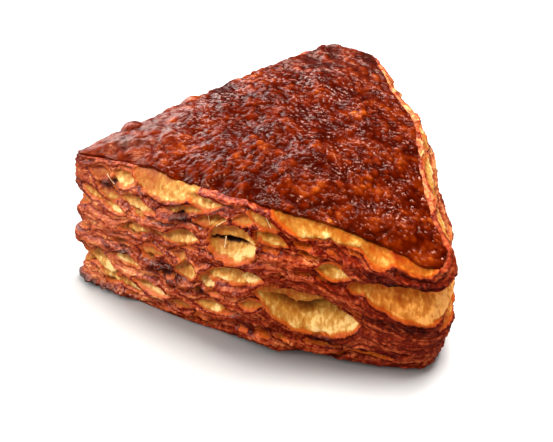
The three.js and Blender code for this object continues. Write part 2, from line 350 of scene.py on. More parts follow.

# %% [markdown]
# ## The air pockets
# Steam blew lens-shaped pockets between the sheets. Inside they are pale and smooth, with an orange rim
# and a thin dark edge. Those that the photograph shows are placed one by one: the middle's place along
# the wall and its share of the height, half length, half height, depth, rise along its length, and
# creaminess. Some have more: upper stretches the part above the middle, flap hangs a sheet over a share
# of the mouth, from the left as far as flap_end, shade darkens the inside with painted shade, point draws
# the ends out, and lip raises the edge.

# %% Pockets that are seen
Pocket = namedtuple(
    "Pocket", "along up length height depth rise cream upper flap flap_end shade point lip",
    defaults=[1.0, 0.0, 1.3, 0.0, 1.05, 0.0],
)
SEEN_POCKETS = [
    Pocket(
        20.2, 0.425, 16.2, 9.6, 8.6, -0.13, 0.82,
        upper=0.64, flap=0.36, flap_end=0.45, shade=0.05, point=0.9, lip=0.5,
    ),
    Pocket(-3, 0.725, 8.4, 5.6, 7.4, 0.06, 0.85, upper=1.15, flap=0.42, shade=0.85, point=0.55, lip=1.4),
    Pocket(55.5, 0.72, 19.8, 8.2, 4.6, 0.07, 0.86, upper=0.5, point=0.6),
    Pocket(34.8, 0.665, 2.6, 2.4, 2.2, 0.2, 0.5),
    Pocket(-28.6, 0.975, 12.2, 6.4, 3.4, 0.05, 0.6, point=0.75, lip=0.3),
    Pocket(-14, 0.94, 6.4, 2.7, 2.8, 0.03, 0.85, upper=0.6, lip=0.3),
    Pocket(-43.4, 0.895, 4.8, 2.3, 2.4, -0.1, 0.85, lip=0.5),
    Pocket(-52.8, 0.90, 4.4, 2.5, 3.4, -0.1, 0.3),
    Pocket(-46.8, 0.85, 2.8, 1.4, 5.0, -0.4, 0.0, shade=0.55),
    Pocket(-48.3, 0.765, 4.0, 2.0, 2.6, -0.2, 0.7),
    Pocket(-37, 0.765, 7.4, 2.3, 2.4, -0.05, 0.8),
    Pocket(-21, 0.835, 8.4, 1.6, 2.4, 0.3, 0.75),
    Pocket(-10.5, 0.835, 5.6, 2.5, 4.2, 0.35, 0.7, lip=0.4),
    Pocket(-21.5, 0.65, 7.2, 2.8, 3.2, 0.25, 0.75, lip=0.4),
    Pocket(0.2, 0.9, 3.8, 1.6, 2.4, 0.1, 0.55),
    Pocket(6.4, 0.93, 5.6, 2.0, 2.8, -0.2, 0.75, lip=0.6),
    Pocket(9, 0.84, 5.6, 2.2, 3.2, -0.15, 0.7, lip=0.4),
    Pocket(-2.5, 0.525, 10, 3.1, 3.4, 0.18, 0.85, lip=0.3),
    Pocket(-22.4, 0.51, 4.0, 1.7, 2.8, 0.1, 0.55),
    Pocket(-19, 0.425, 5.2, 3.3, 3.6, 0.3, 0.75, upper=1.25, lip=0.5),
    Pocket(-11.2, 0.42, 3.2, 3.0, 2.6, 0.3, 0.95),
    Pocket(-37.5, 0.585, 5.0, 1.7, 2.0, 0.1, 0.85),
    Pocket(-29.5, 0.605, 3.6, 1.2, 1.6, 0.1, 0.8),
    Pocket(-47, 0.68, 5.0, 1.3, 1.8, -0.12, 0.9),
    Pocket(-55.5, 0.745, 4.0, 1.4, 1.8, -0.35, 0.8),
    Pocket(-50, 0.12, 4.6, 1.6, 1.6, -0.2, 0.95),
    Pocket(-33.5, 0.455, 4.8, 1.8, 2.0, 0.05, 0.6),
    Pocket(-42.5, 0.32, 5.6, 2.0, 2.0, -0.1, 0.9),
    Pocket(-26.8, 0.34, 3.4, 1.9, 5.0, 0.3, 0.0, shade=0.6),
    Pocket(-21.6, 0.80, 2.8, 0.9, 5.5, 0.2, 0.0, shade=0.6),
    Pocket(-50.4, 0.80, 2.8, 1.3, 5.0, -0.35, 0.0, shade=0.5),
    Pocket(-57.5, 0.27, 2.4, 3.2, 2.2, -0.3, 0.45),
    Pocket(-52.5, 0.21, 4.4, 3.6, 3.2, -0.5, 1.0),
    Pocket(-32.5, 0.192, 6.8, 2.2, 2.6, -0.12, 0.9),
    Pocket(-41.5, 0.115, 6.5, 2.4, 2.2, -0.08, 0.95),
    Pocket(-11, 0.222, 5.8, 2.3, 2.6, 0.2, 0.85),
    Pocket(-22.3, 0.13, 4.4, 1.5, 2.0, 0.05, 0.55),
    Pocket(28, 0.738, 4.6, 2.6, 3.0, -0.1, 0.85),
    Pocket(18.5, 0.985, 10, 4.5, 3.6, -0.1, 0.68),
    Pocket(30.5, 0.985, 9.6, 3.2, 3.0, -0.02, 0.62),
    Pocket(40.4, 0.965, 5.4, 4.2, 3.6, 0.02, 0.66, lip=0.4),
    Pocket(51, 0.985, 9, 2.7, 2.4, 0.05, 0.6),
    Pocket(40, 0.145, 7.0, 1.3, 1.6, 0, 0.45),
    Pocket(25, 0.15, 5.5, 1.3, 1.6, 0.05, 0.45),
    Pocket(3.5, 0.36, 3.4, 2.2, 1.8, 0.2, 0.5),
    Pocket(-62, 0.67, 6, 2.4, 3.4, 0, 0.35),
    Pocket(-62, 0.19, 6, 3.0, 3.4, 0, 0.45),
    Pocket(-61.5, 0.45, 4, 1.4, 2.4, 0, 0.3),
    Pocket(81, 0.90, 8.5, 2.8, 2.2, 0.03, 0.9),
    Pocket(99, 0.92, 9.5, 2.8, 2.2, 0.03, 0.95),
    Pocket(117, 0.94, 8.0, 2.6, 2.2, 0, 0.8),
    Pocket(134, 0.90, 7.0, 2.8, 2.2, 0.03, 0.75),
]
print(len(SEEN_POCKETS), "pockets are placed one by one")

# %% [markdown]
# The hidden walls get theirs by a rule instead of by chance, so that none crowd together. From one pocket
# to the next, each measure steps on by a fixed irrational share and starts again past its end. The shares
# come from the plastic number and the golden ratio, which spread such steps most evenly along the wall,
# over the grooves between the sheets, and from small to large.

# %% Pockets of the hidden walls
SHEETS = 8
SIDE_POCKETS = 48
SIDE = SimpleNamespace(
    length=(3, 14), height=(1.2, 4.6), depth=(1.8, 5.5), rise=0.22, cream=(0.3, 0.95), cream_steps=7,
    upper=(0.5, 1.3), upper_steps=3, flap=0.35, flap_end=0.5, flap_every=3, point=(0.5, 1.1), point_steps=5,
)
SPREAD_ALONG = 0.7548776662
SPREAD_UP = 0.569840291
SPREAD_SIZE = 0.6180339887


def mix(limits, share):
    """The value at a share of the way between two limits."""
    return limits[0] + (limits[1] - limits[0]) * share


def side_pocket(number):
    """A pocket on the left or right wall: many small ones and a few large ones, between two sheets."""
    size = (number * SPREAD_SIZE % 1) ** 2
    groove = 1 + math.floor(number * SPREAD_UP % 1 * (SHEETS - 1))
    return Pocket(
        along=FRONT_END + number * SPREAD_ALONG % 1 * (PERIMETER - 2 * FRONT_END),
        up=groove / SHEETS,
        length=mix(SIDE.length, size),
        height=mix(SIDE.height, size),
        depth=mix(SIDE.depth, size),
        rise=SIDE.rise * math.sin(number),
        cream=mix(SIDE.cream, number * SIDE.cream_steps * SPREAD_SIZE % 1),
        upper=mix(SIDE.upper, number * SIDE.upper_steps * SPREAD_SIZE % 1),
        flap=SIDE.flap if number % SIDE.flap_every == 0 else 0,
        flap_end=SIDE.flap_end,
        point=mix(SIDE.point, number * SIDE.point_steps * SPREAD_SIZE % 1),
    )


pockets = SEEN_POCKETS + [side_pocket(number) for number in range(1, SIDE_POCKETS + 1)]
print("with", SIDE_POCKETS, "pockets by the rule there are", len(pockets))

# %% [markdown]
# A pocket's outline is a lens that the slow noise pushes about, so that no two are the same. How far a
# point lies inside the edge, in mm, is worked out as a smooth number that runs on outside. With it, the
# material can draw the edge finer than the mesh.

# %% The lens of one pocket
POCKET_WANDER = 1.1
RISE_WANDER = 0.5
EDGE_WANDER = 0.4
FAR_OUTSIDE = -3.0


def pocket_lens(pocket):
    """The points near a pocket, their place along and above its middle, and how far inside they lie."""
    aside = along + POCKET_WANDER * bend - pocket.along
    aside -= PERIMETER * np.round(aside / PERIMETER)
    near = np.flatnonzero(np.abs(aside) < pocket.length - FAR_OUTSIDE)
    share = aside[near] / pocket.length
    lens = np.clip(1 - np.abs(share) ** 2, 0, 1) ** pocket.point
    below = pocket.height * lens
    above = below * pocket.upper
    wander = RISE_WANDER * drift[near] + EDGE_WANDER * crumple[near]
    rise = (up[near] - pocket.up) * strip.height[near] + wander - pocket.rise * aside[near]
    half = np.where(rise > 0, above, below)
    inside = half - np.hypot(rise, np.maximum(0, np.abs(share) - 1) * pocket.length)
    return SimpleNamespace(
        near=near, share=share, lens=lens, below=below, tall=above + below,
        rise=rise, half=half, inside=inside,
    )


print("the largest pocket reaches", len(pocket_lens(pockets[0]).near), "points of the drum")

# %% [markdown]
# A pocket is a scoop: its floor slopes in gently from the lower edge, and it is deepest close under the
# sheet above, where it ends steeply. Where a sheet hangs over the mouth, the scoop ends at that sheet,
# which itself lies a little back, and painted shade gathers under it. Pockets with shade but no flap get
# painted shade over their inside, fading out towards their right end.

# %% The scoop of one pocket
THINNEST = 0.02
STEEP_SIDE = 0.9
STEEP_SHARES = (0.08, 0.5)
FLAP_DEPTH = 2.2
FLAP_FADE = 0.5
# SHADE sets the painted shade: where it starts under a flap, how it fades and frays, and its right end.
SHADE = SimpleNamespace(under_flap=0.46, full_flap=0.2, fade=0.08, fray=0.1, edge=0.3, right_end=0.5)


def pocket_scoop(pocket, spot):
    """How deep the points near a pocket lie in it, in mm, and how much painted shade they get."""
    tall = np.maximum(spot.tall, THINNEST)
    flap = pocket.flap * ease(pocket.flap_end, pocket.flap_end - FLAP_FADE, spot.share)
    climb = np.clip((spot.rise + spot.below) / (tall * (1 - flap)), 0, 1)
    steep = np.clip(2 * STEEP_SIDE / tall, *STEEP_SHARES)
    scoop = pocket.depth * climb * (1 - ease(1 - steep, 1, climb)) * np.sqrt(spot.lens)
    shade_from, hung_over = 0, 1
    if pocket.flap:
        across_all = np.clip((spot.rise + spot.below) / tall, 0, 1)
        scoop = np.maximum(scoop, FLAP_DEPTH * np.sqrt(4 * across_all * (1 - across_all) * spot.lens))
        shade_from, hung_over = SHADE.under_flap, ease(0, SHADE.full_flap, flap)
    frayed = climb + SHADE.fray * crumple[spot.near]
    shade = pocket.shade * ease(shade_from, shade_from + SHADE.fade, frayed) * (climb < 1)
    shade *= ease(0, SHADE.edge, spot.inside) * hung_over * ease(SHADE.right_end, 0, spot.share)
    return scoop, shade


deepest_scoop = max(pocket_scoop(pocket, pocket_lens(pocket))[0].max() for pocket in SEEN_POCKETS)
print(f"the deepest pocket goes {deepest_scoop:.1f} mm in")

# %% [markdown]
# Where pockets overlap, the deeper one counts, and their colours blend by how far inside each a point
# lies. A pocket also pushes the sheets above it up and those below it down, and the sum of these pushes
# is kept as the flow of the sheets.

# %% Press the pockets into the wall
LIP_WIDTH = 0.42
LIT_FROM_LEFT = 0.24
NO_WEIGHT = 1e-9
OVERLAP_BLEND = 0.6
LEAST_HALF = 0.5
FLOW_REACH = 4.0

pocket_inside = np.full(len(blank), FAR_OUTSIDE)
pocket_weight = np.full(len(blank), NO_WEIGHT)
pocket_depth, pocket_cream_and_painted_light, pocket_side, painted_pocket_shade, pocket_lip, flow = np.zeros((6, len(blank)))
for pocket in pockets:
    spot = pocket_lens(pocket)
    near = spot.near
    scoop, shade = pocket_scoop(pocket, spot)
    pocket_depth[near] = np.maximum(pocket_depth[near], scoop)
    painted_pocket_shade[near] = np.maximum(painted_pocket_shade[near], shade)
    lip = pocket.lip * bell(spot.inside + LIP_WIDTH, LIP_WIDTH)
    pocket_lip[near] = np.maximum(pocket_lip[near], lip)
    weight = np.exp(np.clip(spot.inside, FAR_OUTSIDE, -FAR_OUTSIDE) / OVERLAP_BLEND)
    pocket_weight[near] += weight
    pocket_side[near] += weight * np.clip(spot.rise / np.maximum(spot.half, LEAST_HALF), -1, 1)
    # Pockets are creamier towards their right end: painted light from the lamps on the left.
    pocket_cream_and_painted_light[near] += weight * (pocket.cream + LIT_FROM_LEFT * np.clip(spot.share, -1, 1))
    pocket_inside[near] = np.maximum(pocket_inside[near], spot.inside)
    beyond = np.maximum(0, np.abs(spot.rise) - spot.half)
    pushed = np.minimum(np.abs(spot.rise), spot.half * np.exp(-beyond / (FLOW_REACH + spot.half)))
    flow[near] += np.sign(spot.rise) * pushed
pocket_side /= pocket_weight
pocket_cream_and_painted_light /= pocket_weight
print(f"pockets open {100 * (pocket_inside > 0).mean():.0f} % of the wall")

# %% [markdown]
# ## Noise that follows the sheets
# The finer noise is read at heights with the flow taken out, so its long flat lumps run along the sheets
# and part round the pockets as the real sheets do. Round lumps make crags, pebbles make grain, and
# upright lumps make the fibres in a pocket.

# %% Layered and craggy noise
GRAIN_WANDER = 0.4

flowing = np.column_stack([strip.xy, level * WALL_HEIGHT - flow])
layers = dough_noise(flowing, (8, 8, 0.9), offset=11.3)
toasting = dough_noise(flowing, (12, 12, 3), detail=3, offset=6.1)
crags = dough_noise(flowing, (3.2, 3.2, 1.7), detail=3, offset=5.9)
grain = pebbles(smooth + GRAIN_WANDER * crags[:, None], (1.7, 1.7, 1.3), offset=1.7)
fibres = dough_noise(smooth, (1.3, 1.3, 7), offset=9.2)
print("crag noise spans", crags.min().round(2), "to", crags.max().round(2))

# %% [markdown]
# ## The sheets
# Eight thick bundles of sheets show as ridges. Each stands in or out as a whole, in slow ripples that are
# spread by the golden angle so that no two bundles ripple alike.

# %% Relief of the sheets
RIDGE = 1.6
RIDGE_PROUD = 0.6
SHEET_STRAY = 1.3
SHEET_WANDER = 0.4
JUST_UNDER = 1e-6
GOLDEN_ANGLE = math.pi * (3 - math.sqrt(5))
RIPPLE = SimpleNamespace(waves=(1, 2, 3), cycles=4, kinds=3, reach=1.5)


def ripple(sheet, around):
    """How far a sheet stands in or out at a share of the way round, about -1 to 1."""
    total = 0
    for wave in RIPPLE.waves:
        cycles = RIPPLE.cycles * wave + sheet % RIPPLE.kinds
        total = total + np.sin(FULL_TURN * cycles * around + GOLDEN_ANGLE * sheet * (wave + 1)) / wave
    return total / RIPPLE.reach


sheet_drift = SHEET_WANDER * drift * np.sin(math.pi * level)
place_in_sheets = (level - flow / WALL_HEIGHT) * SHEETS + sheet_drift
place_in_sheets = np.clip(place_in_sheets, 0, SHEETS - JUST_UNDER)
sheet = np.floor(place_in_sheets)
ridge = np.sqrt(np.sin(math.pi * (place_in_sheets - sheet)))
sheet_relief = RIDGE * (ridge - 1) + RIDGE_PROUD + SHEET_STRAY * ripple(sheet, along / PERIMETER) * ridge
print(f"ridges stand {sheet_relief.min():.1f} to {sheet_relief.max():.1f} mm off the smooth wall")

# %% [markdown]
# ## Dark folds
# In a few places whole bundles have rolled together into thick, dark folds. A fold runs between two
# places on the wall, each given along it and as a share of its height, and has a half height and a reach
# outwards.

# %% Folds of the front wall
Fold = namedtuple("Fold", "start end half_height out")
FOLDS = [
    Fold((33, 0.80), (67, 0.83), 3.0, 1.5),
    Fold((17, 0.645), (60, 0.435), 2.8, 1.5),
    Fold((30, 0.27), (68, 0.30), 3.6, 1.0),
    Fold((-12, 0.605), (18, 0.60), 1.5, 0.9),
    Fold((-45, 0.835), (-9, 0.885), 1.2, 1.0),
    Fold((-60, 0.37), (-26, 0.36), 1.6, 1.0),
    Fold((-8, 0.91), (9, 0.865), 1.4, 1.0),
    Fold((-66, 0.365), (-57, 0.35), 2.6, 1.6),
    Fold((-66, 0.555), (-59, 0.55), 1.8, 0.3),
    Fold((-72, 0.03), (-46, 0.025), 1.3, 1.8),
    Fold((64, 0.41), (74, 0.42), 1.6, 1.6),
]
FOLD_WANDER = 0.8
FOLD_END = 3
SHOWS_FROM = 0.3

fold_body, fold_relief = np.zeros((2, len(blank)))
for fold in FOLDS:
    (start_along, start_up), (end_along, end_up) = fold.start, fold.end
    share = np.clip((along - start_along) / (end_along - start_along), 0, 1)
    beyond = along - np.clip(along, start_along, end_along)
    off = (up - start_up - (end_up - start_up) * share) * strip.height + FOLD_WANDER * drift
    body = np.sqrt(np.clip(1 - (off / fold.half_height) ** 2, 0, 1)) * bell(beyond, FOLD_END)
    fold_body = np.maximum(fold_body, body)
    fold_relief = np.maximum(fold_relief, fold.out * body)
print(len(FOLDS), "folds cover", f"{100 * (fold_body > SHOWS_FROM).mean():.0f} % of the wall")

# %% [markdown]
# ## Stretches of the wall
# Dough doesn't bake alike all round: some stretches of the wall are denser, drier or browner. Each is
# given as a share, with fades along the wall and over its levels. A fade is a pair of places, where it is
# 0 and 1.

# %% Shares that fade in and out along the wall
Stretch = namedtuple("Stretch", "share along level", defaults=[(), ()])
DENSE = [
    Stretch(0.75, along=[(22, 40), (90, 70)]),
    Stretch(0.75, along=[(-42, -52), (-80, -68)], level=[(0.25, 0.4), (0.8, 0.68)]),
]


def on_stretches(stretches):
    """The faded shares of some stretches of the wall, added up."""
    total = np.zeros(len(blank))
    for stretch in stretches:
        faded = np.full(len(blank), float(stretch.share))
        for fade in stretch.along:
            faded *= ease(*fade, along)
        for fade in stretch.level:
            faded *= ease(*fade, level)
        total += faded
    return total


dense = on_stretches(DENSE)
print(f"dense stretches cover {100 * (dense > SHOWS_FROM).mean():.0f} % of the wall")

# %% [markdown]
# ## Small cells
# Between the placed pockets the cut dough is a net of small flat cells, some torn open and some baked
# shut. Voronoi noise stretched along the sheets gives the net: the gap between the two nearest cells'
# distances is 0 on a cell's wall and grows inwards. A random number for each cell says whether it is
# open, and where the dough is dense or folded the cells stay shut.

# %% A net of torn cells
CELL = SimpleNamespace(
    size=(6.5, 6.5, 3.0), wall=0.28, reach=0.9, opens=(0.25, 0.5), margin=(0, 0.06),
    depth=2.8, edge=(-0.1, 0.7), middle=0.8, climb=1.2, limits=(0.2, 1.4), off_pocket=(0.8, -0.2),
)
CELL_WANDER = SimpleNamespace(aside=2.0, up=1.2, crags=0.5)
CELL_CREAM = SimpleNamespace(shut=0.4, opened=0.3, varies=0.3, turns=9, top=0.5)

wander_up = CELL_WANDER.up * bend + CELL_WANDER.crags * crags
wander = np.column_stack([CELL_WANDER.aside * bend, CELL_WANDER.aside * drift, wander_up])
nearest, second, over_middle, chance = dough_cells(flowing + wander, CELL.size, offset=13.0)
cell_open = ease(*CELL.opens, chance) * (1 - fold_body) * (1 - dense)
cell_open *= ease(*CELL.margin, level) * ease(*CELL.margin, 1 - level)
within = (second - nearest - CELL.wall) * CELL.size[2] * CELL.reach
cell_inside = np.where(cell_open > SHOWS_FROM, within, FAR_OUTSIDE)
cell_scoop = ease(*CELL.edge, cell_inside) * np.clip(CELL.middle + CELL.climb * over_middle, *CELL.limits)
cell_depth = CELL.depth * cell_open * cell_scoop * ease(*CELL.off_pocket, pocket_inside)
cell_tone = CELL_CREAM.opened + CELL_CREAM.varies * np.sin(CELL_CREAM.turns * chance)
# A small cell is painted darker towards its top: painted shade under the sheet above.
cell_cream_and_painted_shade = CELL_CREAM.shut + cell_open * (cell_tone - CELL_CREAM.top * over_middle)
print(f"small cells open {100 * (cell_inside > 0).mean():.0f} % of the wall")

# %% [markdown]
# ## Burnt places
# Where thin sheets stand free they have burnt nearly black and crumpled. Each burnt place is given along
# the wall and as a share of its height, with its half length, half height and strength. Layered noise
# frays it.

# %% Burnt places of the front wall
Scorch = namedtuple("Scorch", "along up length height share")
SCORCHES = [
    Scorch(-27.5, 0.345, 5.5, 3.2, 1.0),
    Scorch(-21.5, 0.805, 4.4, 1.9, 1.0),
    Scorch(-45, 0.385, 5.0, 1.3, 0.7),
    Scorch(-48.5, 0.83, 4.0, 2.6, 0.8),
    Scorch(-14.5, 0.32, 3.0, 1.7, 0.9),
    Scorch(5, 0.2, 7.0, 1.6, 0.6),
    Scorch(26, 0.195, 7.0, 1.1, 0.7),
    Scorch(47, 0.815, 13, 1.3, 0.7),
    Scorch(50, 0.895, 11, 1.7, 0.6),
    Scorch(48, 0.46, 11, 1.8, 0.6),
    Scorch(-27, 0.862, 11, 1.0, 0.55),
    Scorch(-63, 0.5, 4.0, 4.5, 0.35),
    Scorch(-61, 0.79, 3.0, 3.5, 0.3),
    Scorch(-56, 0.02, 14, 1.4, 0.9),
]
SCORCH_FRAY = (-0.6, 0.1)
SCORCH_OFF_POCKET = (0.6, 0)

scorch = np.zeros(len(blank))
for spot in SCORCHES:
    near_spot = bell(along - spot.along, spot.length) * bell((up - spot.up) * strip.height, spot.height)
    scorch = np.maximum(scorch, spot.share * near_spot)
scorch *= ease(*SCORCH_FRAY, layers + crags) * ease(*SCORCH_OFF_POCKET, pocket_inside)
print(f"burnt places cover {100 * (scorch > SHOWS_FROM).mean():.1f} % of the wall")

# %% [markdown]
# ## Press the drum into the pastry's walls
# Sheets, folds, torn layers, crags and the webs of dough round the pockets are added up. A lip stands up
# round some pockets, burnt places crumple most, and the draped sheets on the left are calmer. Inside a
# pocket the relief gives way to its lining, which has upright fibres.

# %% Relief of the walls
WEB = SimpleNamespace(round=1.0, width=2.2, mean=0.6)
LAYER_RELIEF = 0.55
CRAG_RELIEF = 0.6
GRAIN_RELIEF = 0.36
GRAIN_MEAN = 0.4
FIBRE_RELIEF = 0.24
CRUMPLE_RELIEF = 0.6
LINING_GRAIN = 0.18
SCORCH_RELIEF = 1.4
DRAPED_CALM = [Stretch(0.5, along=[(-35, -50), (-95, -75)])]
CORNER_CALM = [Bump(-62, 13, 0.75), Bump(70, 13, 0.75)]
LINING_SHOWS = (-0.2, 0.9)

opened = ease(*LINING_SHOWS, pocket_inside)
any_inside = np.maximum(pocket_inside, cell_inside)
web = WEB.round * (np.sqrt(np.clip(-any_inside / WEB.width, 0, 1)) - WEB.mean)
lumpy = (CRAG_RELIEF * crags + GRAIN_RELIEF * (grain - GRAIN_MEAN)) * (1 - on_stretches(DRAPED_CALM))
rough = LAYER_RELIEF * layers + lumpy + SCORCH_RELIEF * scorch * crags
sheet_out = sheet_relief * (1 - add_bumps(along, CORNER_CALM)) * (1 - fold_body) + fold_relief
sheet_out += web + rough - cell_depth
lining = FIBRE_RELIEF * fibres + CRUMPLE_RELIEF * crumple + LINING_GRAIN * grain
relief = sheet_out * (1 - opened) + lining * opened + pocket_lip
print(f"the relief spans {relief.min():.1f} to {relief.max():.1f} mm, without the pockets' depth")

# %% [markdown]
# The relief and the pockets' depth move each point along the wall's outward direction. Both fade out in
# the last rows, so the foot lies flat and the top stays hidden under the crust. Rows inside a pocket also
# climb a little, which tucks them under the sheet above. At last the faces are turned outwards and shaded
# smooth.

# %% Move every point of the drum
END_ROWS = 3
UNDERCUT = 0.35
CAP_INSET = 1.2
CAP_DROP = 0.9
UNDER_DOME = 2

ends = np.minimum(1, np.minimum(level, 1 - level) * ROWS / END_ROWS)
out = relief * ends
out -= pocket_depth * np.minimum(1, level * ROWS / END_ROWS)
out -= wall_setback(strip, up) + CAP_INSET * (level >= 1)
height = up * strip.height + UNDERCUT * pocket_depth * (1 - up) * ends - CAP_DROP * (level >= 1)
pressed = np.column_stack([strip.xy + strip.normal * out[:, None], height])
pressed[on_axis] = 0
pressed[on_axis & (level == 1), 2] = WALL_HEIGHT + DOME_RISE - UNDER_DOME
pressed[:, :2] -= PLAN_MIDDLE
write_points(drum, pressed * MM)


def finish_mesh(piece):
    """Points the faces outwards and shades the piece smooth."""
    deselect_all()
    piece.select_set(True)
    bpy.context.view_layer.objects.active = piece
    bpy.ops.object.mode_set(mode="EDIT")
    bpy.ops.mesh.select_all(action="SELECT")
    bpy.ops.mesh.normals_make_consistent(inside=False)
    bpy.ops.object.mode_set(mode="OBJECT")
    bpy.ops.object.shade_smooth()


finish_mesh(walls)
print("walls measure", [round(d / MM, 1) for d in walls.dimensions], "mm")

# %% [markdown]
# ## How each place has baked, with painted light and shade
# What stands out of the wall browns first, and what lies in a pocket stays pale. It could be painted by
# hand, but the relief itself says how baked each point is, so numbers are kept on the mesh for the
# material to read. They are how far inside a pocket a point lies, how creamy the dough is there, which
# also carries painted light on the bottom and right parts of pockets and painted shade at the tops of
# cells, how deep it lies, which the material turns into painted shade, how toasted the dough outside is,
# which also carries painted light on the front's left and a painted glow at pocket edges, where it is dry,
# where it has a sheen, where pockets are amber, how burnt it is, and its height along the flow of the
# sheets, which draws the thin leaves of dough.

# %% Numbers for the walls' material
CREAM = SimpleNamespace(
    at_rim=0.3, rim=(0.0, 0.5), base=-0.2, lower=0.3, crumple=0.27, toasting=0.22,
)
TOAST = SimpleNamespace(
    base=0.28, glow=0.16, toasting=0.28, crags=0.16, layers=0.14, grain=0.2, folds=-0.04,
)
TOASTED_AND_PAINTED_LIGHT = [
    # The first stretch lightens the front's left part: painted light from the lamps on the left.
    Stretch(0.19, along=[(-18, -46), (-68, -54)]),
    Stretch(0.4, along=[(68, 82), (165, 145)], level=[(0.6, 0.8)]),
    Stretch(0.1, along=[(-8, -25), (-90, -70)], level=[(0.4, 0.25)]),
    Stretch(-0.1, level=[(0.06, 0.0)]),
    Stretch(-0.05, along=[(15, 40), (90, 70)]),
]
DRY = [Stretch(1, along=[(20, 40), (95, 75)]), Stretch(0.7, along=[(-38, -52), (-95, -75)])]
SHEEN = [Stretch(1, along=[(25, -45)]), Stretch(-0.6, along=[(-70, -90)]), Stretch(0.8, along=[(70, 90)])]
AMBER = [Stretch(1, along=[(34, 42), (90, 75)])]
DEEPEST = 8.0
# RIM_GLOW shapes a painted glow at pocket edges, weaker on upper edges as painted shade.
RIM_GLOW = SimpleNamespace(width=0.7, upper_from=0.5, upper=0.6)


def keep_on_points(mesh, **numbers):
    """Keeps a number for each point of a mesh, under the names given."""
    for name, values in numbers.items():
        attribute = mesh.attributes.new(name, "FLOAT", "POINT")
        attribute.data.foreach_set("value", values)


in_cell = cell_inside > pocket_inside
# Pockets are painted lighter in their bottom half, on the floor that faces up: painted light.
lower = np.where(in_cell, 0, -pocket_side)
cream = np.where(in_cell, cell_cream_and_painted_shade, pocket_cream_and_painted_light) * mix((CREAM.at_rim, 1), ease(*CREAM.rim, any_inside))
cream += CREAM.lower * lower + CREAM.base + CREAM.crumple * crumple + CREAM.toasting * toasting
# deep is painted shade: deep places, the tops of small cells and shaded pockets darken towards near black.
deep = np.clip((pocket_depth + cell_depth * (1 + over_middle)) / DEEPEST + painted_pocket_shade, 0, 1)
# Toast rises near pocket edges: partly the thin edges' own colour, partly painted glow of light through
# them.
glow = np.exp(np.minimum(0, any_inside) / RIM_GLOW.width)
glow *= np.where(pocket_side > RIM_GLOW.upper_from, RIM_GLOW.upper, 1)
toast = TOAST.base + TOAST.glow * glow + TOAST.toasting * toasting + TOAST.crags * crags
toast += TOAST.layers * layers + TOAST.grain * (grain - GRAIN_MEAN) + TOAST.folds * fold_body
toast += on_stretches(TOASTED_AND_PAINTED_LIGHT)
keep_on_points(
    drum, inside=any_inside, cream=cream, deep=deep, toast=np.clip(toast, 0, 1), dry=on_stretches(DRY),
    sheen=on_stretches(SHEEN), amber=on_stretches(AMBER), scorch=scorch, leaf=flowing[:, 2] * MM,
)
print(f"mean toast {toast.mean():.2f}, mean cream in pockets {cream[any_inside > 0].mean():.2f}")

# %% [markdown]
# ## The crust
# The crust is a thin baked skin over the top, domed, with its rim just over the first pockets. It could
# be cut from a sphere, but its plan is a triangle. So it is modelled as a sheet: a grid is added, its
# square is rounded into a disc, and the disc is stretched out to the rim of the walls. Its height is a
# smooth function of place, drawn to the top of the wall near the rim.

# %% A grid rounded into a disc
CRUST_GRID = 304
CRUST_SWELL = SimpleNamespace(height=0.5, across=0.21, shift=1, deep=0.19, slanted=0.13)


def crust_height(xy):
    """The smooth crust's height in mm over places in the plan."""
    outward = np.linalg.norm(xy, axis=-1) / contour_reach(np.arctan2(xy[:, 1], xy[:, 0]), DOME_SHARPNESS)
    x, y = xy.T
    swell = np.sin(CRUST_SWELL.across * x + CRUST_SWELL.shift) * np.sin(CRUST_SWELL.deep * y)
    swell += np.sin(CRUST_SWELL.slanted * (x - y))
    height = WALL_HEIGHT + DOME_RISE * (1 - outward**2) + CRUST_SWELL.height * swell
    for corner in CORNERS.values():
        height -= corner.dip * bell(np.linalg.norm(xy - corner.at, axis=-1), corner.reach)
    return height


deselect_all()
bpy.ops.mesh.primitive_grid_add(
    x_subdivisions=CRUST_GRID, y_subdivisions=CRUST_GRID, size=2, location=(0, 0, 0)
)
crust = bpy.context.object
crust.name = "pastry_crust"
square = read_points(crust.data)[:, :2]
disc = square * np.sqrt(1 - square[:, ::-1] ** 2 / 2)
from_middle = np.minimum(1, np.hypot(disc[:, 0], disc[:, 1]))
disc_angle = np.arctan2(disc[:, 1], disc[:, 0])
print("the crust's disc has", len(disc), "points")

# %% [markdown]
# The top of the walls is known all round. Noise makes it a ragged rim that hangs over a little, and each
# point of the disc is stretched towards the rim in its own direction.

# %% Stretch the disc to the rim
CRUST_LIFT = 0.2
RIM_OVERHANG = 0.3
RIM_RAGGED = 0.8
EDGE_DRAW = 4

rim = wall_strip(np.linspace(0, PERIMETER, OUTLINE_STEPS, endpoint=False))
rim_wave = dough_noise(np.column_stack([rim.xy, np.zeros(len(rim.xy))]), (5, 5, 5), detail=4, offset=2.2)
rim_out = RIM_OVERHANG + RIM_RAGGED * rim_wave - wall_setback(rim, np.ones(len(rim.xy)))
rim_xy = rim.xy + rim.normal * rim_out[:, None]
rim_angle = np.arctan2(rim_xy[:, 1], rim_xy[:, 0])
order = np.argsort(rim_angle)


def at_rim(values):
    """Values known along the rim, for each point of the disc in the same direction."""
    return np.interp(disc_angle, rim_angle[order], values[order], period=FULL_TURN)


reach = at_rim(np.linalg.norm(rim_xy, axis=1)) * from_middle
crust_xy = reach[:, None] * np.column_stack([np.cos(disc_angle), np.sin(disc_angle)])
draw = at_rim(rim.height + CRUST_LIFT - crust_height(rim_xy)) * from_middle**EDGE_DRAW
dome = crust_height(crust_xy) + draw
print("crust is", np.ptp(crust_xy, axis=0).round(1), "mm across")

